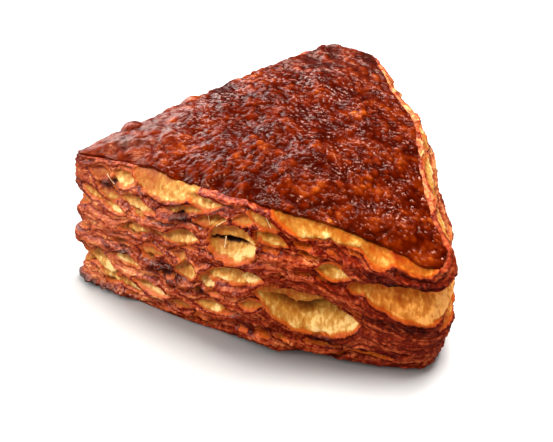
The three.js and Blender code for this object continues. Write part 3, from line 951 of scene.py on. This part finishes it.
# %% [markdown]
# ## Blisters
# Lye and heat raise the skin into small blisters, 1 to 3 mm wide. Cells of Voronoi noise give them: each
# blister is a steep round pebble that fills its cell, tall or flat by chance, and finer ones sit between.
# Slow noise makes some patches calm. On the left larger, softer blisters take over.

# %% Raise the blisters
BLISTERS = ((3.2, 0.85), (2.2, 0.75), (1.5, 0.45))
BLISTER_WARP = 0.35
CALM = SimpleNamespace(mean=0.85, varies=0.75, limits=(0.3, 1.4))
LARGE_BLISTER = SimpleNamespace(size=5.0, height=0.95, warp=0.5, calm=0.4, fades=(-12, -44))
CRUST_GRIT = 0.08

crust_flat = np.column_stack([crust_xy, np.zeros(len(crust_xy))])
crust_x, crust_y = crust_xy.T
warp = np.column_stack([dough_noise(crust_flat, 2.2, detail=3, offset=shift) for shift in (4.4, 8.8, 6.6)])
warped = crust_flat + BLISTER_WARP * warp
small = np.max([tall * pebbles(warped, size, offset=2 * size) for size, tall in BLISTERS], axis=0)
small *= np.clip(CALM.mean + CALM.varies * dough_noise(crust_flat, 12, offset=3.3), *CALM.limits)
large = pebbles(crust_flat + LARGE_BLISTER.warp * warp, LARGE_BLISTER.size, offset=5.1)
large *= LARGE_BLISTER.height
on_left = ease(*LARGE_BLISTER.fades, crust_x)
small *= 1 - LARGE_BLISTER.calm * on_left
blister = small + large * on_left + CRUST_GRIT * dough_noise(crust_flat, 0.8, offset=5.5)
print("blisters rise up to", blister.max().round(2), "mm")

# %% [markdown]
# Two numbers are worked out for the crust's material. One is its tone from dark to amber: blisters are
# lighter than the hollows, which is painted shade in the hollows, the left is lighter, which is painted
# light, and the middle darker, which is painted shade. The other is how soft the shine is: soft on the
# left and at the back, hard and weaker in the middle. Two bubbles then stand on the left edge, and low
# lumps lift the whole skin.

# %% Tone, shine and bubbles of the crust
# LEFT_TONE.light is painted light on the left, and MIDDLE_DARK.tone is painted shade in the middle.
LEFT_TONE = SimpleNamespace(large=0.24, light=0.13)
BACK_SOFT = SimpleNamespace(share=0.8, fades=(28, 58))
MIDDLE_DARK = SimpleNamespace(x=-8, width=22, tone=0.08, gleam=0.8, fades=(45, 25))
Bubble = namedtuple("Bubble", "along inward radius height")
BUBBLES = [Bubble(-82, 0.2, 3.6, 1.8), Bubble(-104.5, 0.6, 3.0, 1.1)]
BUBBLE_SKIN = SimpleNamespace(tone=0.55, tone_from=0.5, blisters=0.4)
CRUST_LUMPS = 0.85

# Painted light lightens the left, painted shade darkens the middle, and low blister heights give painted
# shade.
in_middle = bell(crust_x - MIDDLE_DARK.x, MIDDLE_DARK.width)
crust_tone = small + (LEFT_TONE.large * large + LEFT_TONE.light) * on_left
crust_tone -= MIDDLE_DARK.tone * in_middle
soft = np.maximum(on_left, BACK_SOFT.share * ease(*BACK_SOFT.fades, crust_y))
soft -= MIDDLE_DARK.gleam * in_middle * ease(*MIDDLE_DARK.fades, crust_y)
for bubble in BUBBLES:
    spot = wall_strip(np.array([float(bubble.along)]))
    centre = spot.xy[0] - spot.normal[0] * (wall_setback(spot, np.ones(1))[0] + bubble.inward)
    away = np.linalg.norm(crust_xy - centre, axis=1) / bubble.radius
    raised_by = bubble.height * np.sqrt(np.clip(1 - away**2, 0, 1))
    blister = np.maximum(blister, raised_by + BUBBLE_SKIN.blisters * small)
    crust_tone = np.maximum(crust_tone, BUBBLE_SKIN.tone * (raised_by > BUBBLE_SKIN.tone_from))
lumps = CRUST_LUMPS * dough_noise(crust_flat, 9, offset=7.1)
crust_points = np.column_stack([crust_xy - PLAN_MIDDLE, dome + lumps + blister])
write_points(crust.data, crust_points * MM)
print("the crust's tone is", crust_tone.mean().round(2), "on average")

# %% [markdown]
# The rim is then extruded down and in, and the hollow under it is closed. The turned-down edge is torn:
# noise moves it up and down, so it isn't an even bead.

# %% Turn the rim down and close the sheet
RIM_STEPS = ((1.0, -0.5), (0.993, -0.7), (0.94, -0.1))
RIM_TEAR = 0.35
RIM_TONE = 0.3

bpy.ops.object.mode_set(mode="EDIT")
bpy.ops.mesh.select_mode(type="EDGE")
bpy.ops.mesh.select_all(action="SELECT")
bpy.ops.mesh.region_to_loop()
measuring_point = (*(-PLAN_MIDDLE * MM), 0)
for widen, drop in RIM_STEPS:
    bpy.ops.mesh.extrude_edges_move(TRANSFORM_OT_translate={"value": (0, 0, drop * MM)})
    bpy.ops.transform.resize(value=(widen, widen, 1), center_override=measuring_point)
bpy.ops.mesh.edge_face_add()
bpy.ops.object.mode_set(mode="OBJECT")
finish_mesh(crust)
skin_points = read_points(crust.data)
in_rim = np.arange(len(skin_points)) >= len(blister)
rim_tear = dough_noise(skin_points[in_rim] / MM, (2.5, 2.5, 50), detail=3, offset=1.9)
skin_points[in_rim, 2] += RIM_TEAR * MM * rim_tear
write_points(crust.data, skin_points)
rim_like = np.zeros(in_rim.sum())
keep_on_points(
    crust.data,
    blister=np.concatenate([crust_tone, rim_like + RIM_TONE]),
    soft=np.concatenate([soft, rim_like]),
)
print("crust has", len(skin_points), "points,", in_rim.sum(), "of them in its rim")

# %% [markdown]
# ## Dough strands
# A few thin threads of dough still cross the mouths of the pockets, stretched when the sheets came apart.
# Each is a slim cylinder whose upright edges are subdivided, bent between two points of the wall and
# thinned at its middle. A point is given along the wall, as a share of its height, and outwards in mm.
# All threads are joined into one piece.

# %% Threads across the pockets
Strand = namedtuple("Strand", "start end thick sag")
STRANDS = [
    Strand((-6.1, 0.745, -1.6), (-7.0, 0.64, -2.2), 0.36, 0.2),
    Strand((-8.6, 0.815, 0.2), (-3.2, 0.895, 0.3), 0.3, -0.4),
    Strand((-12.6, 0.875, -0.6), (-11.4, 0.80, -0.4), 0.28, 0.2),
    Strand((-50, 0.90, -0.5), (-47, 0.845, -0.4), 0.3, 0.3),
    Strand((6.5, 0.965, -0.3), (9.5, 0.885, -0.6), 0.35, 0.2),
]
STRAND_SIDES = 8
STRAND_CUTS = 15
STRAND_WAIST = 0.45


def on_wall(along, up, out):
    """A point in mm on the smooth wall, moved outwards by out."""
    strip = wall_strip(np.array([float(along)]))
    xy = strip.xy + strip.normal * (out - wall_setback(strip, np.array([up])))[:, None]
    return np.array([*(xy[0] - PLAN_MIDDLE), up * strip.height[0]])


def stretch_strand(strand):
    """A slim cylinder bent between two points of the wall."""
    deselect_all()
    bpy.ops.mesh.primitive_cylinder_add(vertices=STRAND_SIDES, radius=1, depth=1, location=(0, 0, 0))
    thread = bpy.context.object
    subdivide_upright(thread.data, STRAND_CUTS)
    points = read_points(thread.data)
    share = points[:, 2] + HALF_DEPTH
    start, end = on_wall(*strand.start), on_wall(*strand.end)
    run = Vector(end - start)
    sideways = run.orthogonal().normalized()
    third = run.cross(sideways).normalized()
    radius = strand.thick / 2 * (1 - STRAND_WAIST * np.sin(math.pi * share))
    middle = start + share[:, None] * (end - start)
    middle[:, 2] -= strand.sag * np.sin(math.pi * share)
    ring = points[:, :1] * np.array(sideways) + points[:, 1:2] * np.array(third)
    write_points(thread.data, (middle + radius[:, None] * ring) * MM)
    return thread


threads = [stretch_strand(strand) for strand in STRANDS]
deselect_all()
for thread in threads:
    thread.select_set(True)
bpy.context.view_layer.objects.active = threads[0]
bpy.ops.object.join()
strands = bpy.context.object
strands.name = "dough_strands"
finish_mesh(strands)
print(len(STRANDS), "threads with", len(strands.data.polygons), "faces")

# %% [markdown]
# ## Colours and nodes
# Colours are written as the sRGB hex values that a picture shows, and turned to the linear values that
# Blender works in. One function adds a shader node, sets its values and links its inputs. An input is
# named by its label, or by an underscore and its number where several inputs have the same label.

# %% Helpers for materials
def linear(hex_colour):
    """An sRGB hex colour as linear RGBA."""
    channels = [int(hex_colour[i : i + 2], 16) / 255 for i in (1, 3, 5)]
    bent = [c / 12.92 if c <= 0.04045 else ((c + 0.055) / 1.055) ** 2.4 for c in channels]
    return (*bent, 1.0)


def add_node(tree, kind, settings=(), stops=(), **links):
    """Adds a shader node, sets its properties and open inputs, fills a colour ramp, and links inputs."""
    node = tree.nodes.new("ShaderNode" + kind)
    for name, value in dict(settings).items():
        if name in node.inputs:
            node.inputs[name].default_value = value
        else:
            setattr(node, name, value)
    for i, (place, colour) in enumerate(stops):
        stop = node.color_ramp.elements[i] if i < 2 else node.color_ramp.elements.new(place)
        stop.position = place
        stop.color = linear(colour)
    for name, socket in links.items():
        tree.links.new(socket, node.inputs[int(name[1:]) if name[1:].isdigit() else name.replace("_", " ")])
    return node


def new_material(name):
    """An empty material, and its tree of nodes."""
    material = bpy.data.materials.new(name)
    material.use_nodes = True
    material.node_tree.nodes.clear()
    return material, material.node_tree


def per_metre(size_in_mm):
    """The scale of a texture whose features have this size."""
    return 1 / (size_in_mm * MM)


print("mahogany in linear values:", [round(c, 3) for c in linear("#7A2D14")[:3]])

# %% [markdown]
# ## Baked dough on the walls
# Dough that was baked with butter between its sheets: browned and slightly glossy where it stands out,
# pale and silky inside the pockets. Its patterns have real sizes: crumb, specks and grit of about a
# millimetre, thin leaves that follow the flow of the sheets, and upright streaks where the lining of a
# pocket was drawn.

# %% Patterns of the walls
LEAF_STRETCH = (0.16, 0.16, 1)
STREAK_STRETCH = (1, 1, 0.16)

walls_material, tree = new_material("baked_laminated_dough")
place = add_node(tree, "TexCoord").outputs["Object"]
kept = {
    name: add_node(tree, "Attribute", {"attribute_name": name}).outputs["Fac"]
    for name in ("inside", "cream", "deep", "toast", "dry", "sheen", "amber", "scorch", "leaf")
}
axes = add_node(tree, "SeparateXYZ", Vector=place).outputs
leaf_place = add_node(tree, "CombineXYZ", X=axes["X"], Y=axes["Y"], Z=kept["leaf"])
leaf_long = add_node(tree, "Mapping", {"Scale": LEAF_STRETCH}, Vector=leaf_place.outputs[0])
streak_tall = add_node(tree, "Mapping", {"Scale": STREAK_STRETCH}, Vector=place)
speck = add_node(tree, "TexVoronoi", {"Scale": per_metre(0.95)}, Vector=place).outputs["Distance"]
crumb, grit, leaves, streak = (
    add_node(tree, "TexNoise", {"Scale": per_metre(size), "Detail": detail}, Vector=at).outputs["Fac"]
    for size, detail, at in (
        (1.2, 4.0, place),
        (0.55, 1.0, place),
        (0.85, 2.0, leaf_long.outputs[0]),
        (1.1, 3.0, streak_tall.outputs[0]),
    )
)
print("the walls read", len(kept), "kept numbers and five patterns")

# %% [markdown]
# Two ramps give the colours: toasted dough from a dark mahogany over rust to pale orange, and pocket
# dough from rust at the rim over amber to cream. The kept numbers, varied by the patterns, run along the
# ramps and choose between them. The edge of a pocket has an orange rim, partly the thin edge's own colour
# and partly a painted glow of light through it, and a burnt line outside it. Deep places get painted
# shade, darkening towards near black, and burnt places get soot.

# %% Tones and ramps of the walls
tone_rows = [
    ("toast", leaves, (0.3, 0.7), (-0.24, 0.22)),
    ("toast", crumb, (0.3, 0.7), (-0.22, 0.2)),
    # Specks: grain tops are painted lighter, a painted highlight, and the gaps darker, painted shade.
    ("toast", speck, (0.1, 0.7), (0.06, -0.1)),
    ("cream", crumb, (0.3, 0.7), (-0.1, 0.1)),
    ("cream", streak, (0.3, 0.7), (-0.21, 0.2)),
]
toned = {"toast": kept["toast"], "cream": kept["cream"]}
for name, pattern, (low, high), (least, most) in tone_rows:
    added = add_node(
        tree, "MapRange", {"From Min": low, "From Max": high, "To Min": least, "To Max": most},
        Value=pattern,
    )
    total = add_node(tree, "Math", {"operation": "ADD"}, _0=toned[name], _1=added.outputs[0])
    toned[name] = total.outputs[0]
from_rim = add_node(tree, "MapRange", {"From Min": -1.5, "From Max": 1.0}, Value=kept["inside"])
in_pocket = add_node(
    tree, "MapRange", {"interpolation_type": "SMOOTHSTEP", "From Min": -0.25, "From Max": 0.3},
    Value=kept["inside"],
)
ramp_rows = {
    "toasted": (toned["toast"], [
        (0.0, "#5C1002"), (0.15, "#792208"), (0.32, "#943919"),
        (0.5, "#A84E29"), (0.72, "#C06E3C"), (1.0, "#E2A264"),
    ]),
    "creamy": (toned["cream"], [
        (0.0, "#842A00"), (0.2, "#934004"), (0.42, "#9C5614"),
        (0.62, "#A66B24"), (0.82, "#BC8B44"), (1.0, "#DCB77A"),
    ]),
    # The orange rim: partly the thin edge's own colour, partly painted glow of light through it.
    "rim": (from_rim.outputs[0], [
        (0.44, "#000000"), (0.53, "#D0D0D0"), (0.63, "#D0D0D0"), (0.84, "#000000"),
    ]),
    "burnt_line": (from_rim.outputs[0], [
        (0.1, "#FFFFFF"), (0.24, "#B06248"), (0.36, "#B06248"), (0.46, "#FFFFFF"),
    ]),
    # Painted shade: deep places darken towards near black.
    "depth": (kept["deep"], [
        (0.0, "#FFFFFF"), (0.35, "#FFF6DC"), (0.6, "#C4A458"), (0.8, "#6A4818"), (1.0, "#241006"),
    ]),
    "soot": (kept["scorch"], [(0.08, "#FFFFFF"), (0.36, "#90665A"), (0.8, "#2E1610")]),
}
ramps = {
    name: add_node(tree, "ValToRGB", stops=stops, Fac=value).outputs["Color"]
    for name, (value, stops) in ramp_rows.items()
}
print("the walls' colours come from", ", ".join(ramps))

# %% [markdown]
# The ramps are mixed in layers, as a painter would lay glazes: toasted or creamy dough, then the orange
# rim, and over both the burnt line, the painted shade of the depth and the soot, which only darken.

# %% Mix the colours of the walls
amber_cream = add_node(
    tree, "Mix", {"data_type": "RGBA", "blend_type": "MULTIPLY", "B": linear("#FFD5A6")},
    Factor=kept["amber"], _6=ramps["creamy"],
)
dough = add_node(
    tree, "Mix", {"data_type": "RGBA"},
    Factor=in_pocket.outputs[0], _6=ramps["toasted"], _7=amber_cream.outputs[2],
)
rimmed = add_node(
    tree, "Mix", {"data_type": "RGBA", "B": linear("#B84E0E")},
    Factor=ramps["rim"], _6=dough.outputs[2],
)
baked = rimmed.outputs[2]
for tint in ("burnt_line", "depth", "soot"):
    tinted = add_node(
        tree, "Mix", {"data_type": "RGBA", "blend_type": "MULTIPLY", "Factor": 1.0},
        _6=baked, _7=ramps[tint],
    )
    baked = tinted.outputs[2]
print("the colour passes through", sum(node.bl_idname == "ShaderNodeMix" for node in tree.nodes), "mixes")

# %% [markdown]
# Butter gives the webs their gloss. It is duller where the dough is dry and brighter on the stretches
# with a sheen, and the pockets are nearly matt. Specks, leaves and grit are too fine for the mesh, so
# bump draws them, and a little light passes under the skin.

# %% Gloss and bump of the walls
web_gloss = add_node(tree, "MapRange", {"To Min": 0.26, "To Max": 0.46}, Value=kept["dry"])
gloss = add_node(
    tree, "Mix", {"data_type": "FLOAT", "B": 0.6},
    Factor=in_pocket.outputs[0], A=web_gloss.outputs[0],
)
web_shine = add_node(tree, "MapRange", {"To Min": 0.24, "To Max": 0.8}, Value=kept["sheen"])
web_grain = add_node(tree, "MapRange", {"To Min": 1.0, "To Max": 0.12}, Value=in_pocket.outputs[0])
specks = add_node(
    tree, "Bump", {"Distance": 0.24 * MM, "invert": True},
    Height=speck, Strength=web_grain.outputs[0],
)
layered = add_node(
    tree, "Bump", {"Distance": 0.5 * MM},
    Height=leaves, Strength=web_grain.outputs[0], Normal=specks.outputs["Normal"],
)
bump = add_node(
    tree, "Bump", {"Strength": 0.7, "Distance": 0.26 * MM},
    Height=grit, Normal=layered.outputs["Normal"],
)
skin = add_node(
    tree, "BsdfPrincipled",
    {
        "IOR": 1.47, "Specular Tint": linear("#FFCEBA"), "Subsurface Weight": 0.2,
        "Subsurface Radius": (3 * MM, 0.8 * MM, 0.3 * MM), "Subsurface Scale": 1.0,
    },
    Base_Color=baked, Roughness=gloss.outputs[0], Normal=bump.outputs["Normal"],
    Specular_IOR_Level=web_shine.outputs[0],
)
add_node(tree, "OutputMaterial", Surface=skin.outputs[0])
drum.materials.append(walls_material)
print("walls' material has", len(tree.nodes), "nodes")

# %% [markdown]
# ## Lye crust
# Dough dipped in lye bakes to a deep mahogany skin with a hard shine. The tops of the blisters are amber,
# and the hollows between them are painted nearly black as painted shade; the beads' edges get painted
# shade too. Beads of about 2 mm and finer noise break the shine into glints by bump, and dull patches,
# some 4 mm wide, leave the glints in groups. Where the shine is soft, on the left and at the back, it is
# broader and stronger.

# %% Material of the crust
crust_material, tree = new_material("lye_crust")
place = add_node(tree, "TexCoord").outputs["Object"]
raised, soft_side = (
    add_node(tree, "Attribute", {"attribute_name": name}).outputs["Fac"] for name in ("blister", "soft")
)
bead = add_node(tree, "TexVoronoi", {"Scale": per_metre(1.9)}, Vector=place).outputs["Distance"]
patch, fine, dull = (
    add_node(tree, "TexNoise", {"Scale": per_metre(size), "Detail": detail}, Vector=place).outputs["Fac"]
    for size, detail in ((7, 5.0), (0.9, 1.0), (4, 3.0))
)
ranged = {
    name: add_node(
        tree, "MapRange",
        {"From Min": low, "From Max": high, "To Min": least, "To Max": most, "clamp": clamp},
        Value=value,
    ).outputs[0]
    for name, value, (low, high), (least, most), clamp in (
        # raised_tone paints the hollows dark and bead_tone darkens the beads' edges: both are painted
        # shade.
        ("raised_tone", raised, (0.1, 0.95), (0.0, 0.58), True),
        ("patch_tone", patch, (0.3, 0.7), (-0.14, 0.38), True),
        ("bead_tone", bead, (0.1, 0.7), (0.05, -0.1), True),
        ("dull_patch", dull, (0.4, 0.62), (0.62, 0.06), True),
        ("gleam_share", soft_side, (0, 1), (0.85, 1.4), False),
        ("roughness", soft_side, (0, 1), (0.15, 0.36), True),
        ("bead_share", soft_side, (0, 1), (1.0, 0.35), True),
    )
}
tone = ranged["raised_tone"]
for added in ("patch_tone", "bead_tone"):
    tone = add_node(tree, "Math", {"operation": "ADD"}, _0=tone, _1=ranged[added]).outputs[0]
gleam = add_node(
    tree, "Math", {"operation": "MULTIPLY"}, _0=ranged["dull_patch"], _1=ranged["gleam_share"]
)
mahogany = add_node(
    tree, "ValToRGB",
    stops=[(0.0, "#300400"), (0.22, "#4A0C00"), (0.45, "#661D02"), (0.72, "#8E3E0C"), (1.0, "#C47426")],
    Fac=tone,
)
beads = add_node(
    tree, "Bump", {"Distance": 0.4 * MM, "invert": True}, Height=bead, Strength=ranged["bead_share"]
)
bump = add_node(
    tree, "Bump", {"Strength": 0.7, "Distance": 0.08 * MM},
    Height=fine, Normal=beads.outputs["Normal"],
)
skin = add_node(
    tree, "BsdfPrincipled",
    {"IOR": 1.5, "Specular Tint": linear("#FFAC84")},
    Base_Color=mahogany.outputs["Color"], Roughness=ranged["roughness"], Normal=bump.outputs["Normal"],
    Specular_IOR_Level=gleam.outputs[0],
)
add_node(tree, "OutputMaterial", Surface=skin.outputs[0])
crust.data.materials.append(crust_material)
print("crust's material has", len(tree.nodes), "nodes")

# %% [markdown]
# ## Drawn dough
# The threads are fresh crumb pulled thin: pale amber, nearly dry, and lighter in some places than in
# others.

# %% Material of the strands
strand_material, tree = new_material("drawn_dough")
place = add_node(tree, "TexCoord").outputs["Object"]
mottle = add_node(tree, "TexNoise", {"Scale": per_metre(1.5), "Detail": 3.0}, Vector=place)
pale_amber = add_node(
    tree, "ValToRGB", stops=[(0.3, "#D08A40"), (0.7, "#FAE4BC")], Fac=mottle.outputs["Fac"]
)
skin = add_node(
    tree, "BsdfPrincipled",
    {
        "Roughness": 0.45, "IOR": 1.45, "Specular IOR Level": 0.4, "Subsurface Weight": 0.2,
        "Subsurface Radius": (2 * MM, 1 * MM, 0.5 * MM), "Subsurface Scale": 1.0,
    },
    Base_Color=pale_amber.outputs["Color"],
)
add_node(tree, "OutputMaterial", Surface=skin.outputs[0])
strands.data.materials.append(strand_material)
print("strands' material has", len(tree.nodes), "nodes")

# %% [markdown]
# ## Floor
# A white sweep, as under a piece that is photographed for a menu: one plane with a matt finish. Gloss
# sees it dark, because a bright floor would mirror in the walls and grey them.

# %% A plane under the pastry
FLOOR_SIZE = 2000

deselect_all()
bpy.ops.mesh.primitive_plane_add(size=FLOOR_SIZE * MM, location=(0, 0, 0))
floor = bpy.context.object
floor.name = "floor"
floor_material, tree = new_material("white_sweep")
white = add_node(tree, "BsdfDiffuse", {"Color": linear("#D9D7D4")})
dim = add_node(tree, "BsdfDiffuse", {"Color": linear("#3F3F3F")})
ray = add_node(tree, "LightPath")
paint = add_node(
    tree, "MixShader", _0=ray.outputs["Is Glossy Ray"], _1=white.outputs[0], _2=dim.outputs[0]
)
add_node(tree, "OutputMaterial", Surface=paint.outputs[0])
floor.data.materials.append(floor_material)
print("the floor is", FLOOR_SIZE, "mm wide")

# %% [markdown]
# ## Light
# Seven soft lamps. Two at the front and one on the left light the walls, one behind on the left gives the
# crust its sheen, two small ones behind give the glints, and a key high at the back right throws the
# shadow forwards and to the left. The front lamps would wash that shadow out, so light linking spares the
# floor from them. The key and the right fill are hidden from gloss, so that they leave no glare on the
# crust.

# %% Lamps
Lamp = namedtuple("Lamp", "azimuth elevation size power")
LAMPS = {
    "front_left_softbox": Lamp(-35, 56, 250, 7.8),
    "left_softbox": Lamp(-78, 26, 600, 4.6),
    "front_right_fill": Lamp(42, 24, 500, 2.4),
    "back_left_rim": Lamp(232, 25, 600, 6.4),
    "glint_lamp": Lamp(200, 46, 200, 2.1),
    "right_glint_lamp": Lamp(160, 50, 180, 2.3),
    "back_right_key": Lamp(150, 78, 450, 13),
}
LAMP_DISTANCE = 900
FLOOR_SPARED = ("front_left_softbox", "front_right_fill")
HIDDEN_FROM_GLOSS = ("back_right_key", "front_right_fill")

not_lit = bpy.data.collections.new("not_lit_from_the_front")
not_lit.objects.link(floor)
not_lit.collection_objects[0].light_linking.link_state = "EXCLUDE"
for name, lamp in LAMPS.items():
    data = bpy.data.lights.new(name, "AREA")
    data.energy = lamp.power
    data.size = lamp.size * MM
    light = bpy.data.objects.new(name, data)
    light.visible_glossy = name not in HIDDEN_FROM_GLOSS
    bpy.context.scene.collection.objects.link(light)
    aim(light, lamp.azimuth, lamp.elevation, LAMP_DISTANCE)
    if name in FLOOR_SPARED:
        light.light_linking.receiver_collection = not_lit
print("lamps:", ", ".join(LAMPS))

# %% [markdown]
# The world fills the shadows with even white light. The camera sees it as pure white, and gloss sees it
# nearly black, as it would see a dim room between the lamps, so highlights stay small.

# %% White world
WORLD_STRENGTH = 0.32
WORLD_IN_GLOSS = 0.01

world = bpy.data.worlds.new("white_studio")
world.use_nodes = True
tree = world.node_tree
tree.nodes.clear()
ray = add_node(tree, "LightPath")
lighting = add_node(
    tree, "MapRange", {"To Min": WORLD_STRENGTH, "To Max": WORLD_IN_GLOSS},
    Value=ray.outputs["Is Glossy Ray"],
)
strength = add_node(
    tree, "Mix", {"data_type": "FLOAT", "B": 1.0},
    Factor=ray.outputs["Is Camera Ray"], A=lighting.outputs[0],
)
sky = add_node(tree, "Background", {"Color": linear("#FFFFFF")}, Strength=strength.outputs[0])
add_node(tree, "OutputWorld", Surface=sky.outputs[0])
bpy.context.scene.world = world
bpy.context.scene.view_settings.view_transform = "Standard"
print("the world shines with strength", WORLD_STRENGTH)

# %% [markdown]
# ## The pieces on the body
# The three pieces ride on the one body. The walls stand for the imported solid, and the crust and the
# threads go with them.

# %% Ride, replace and finish
for piece in (walls, crust, strands):
    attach(piece, "root")
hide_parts("pastry")
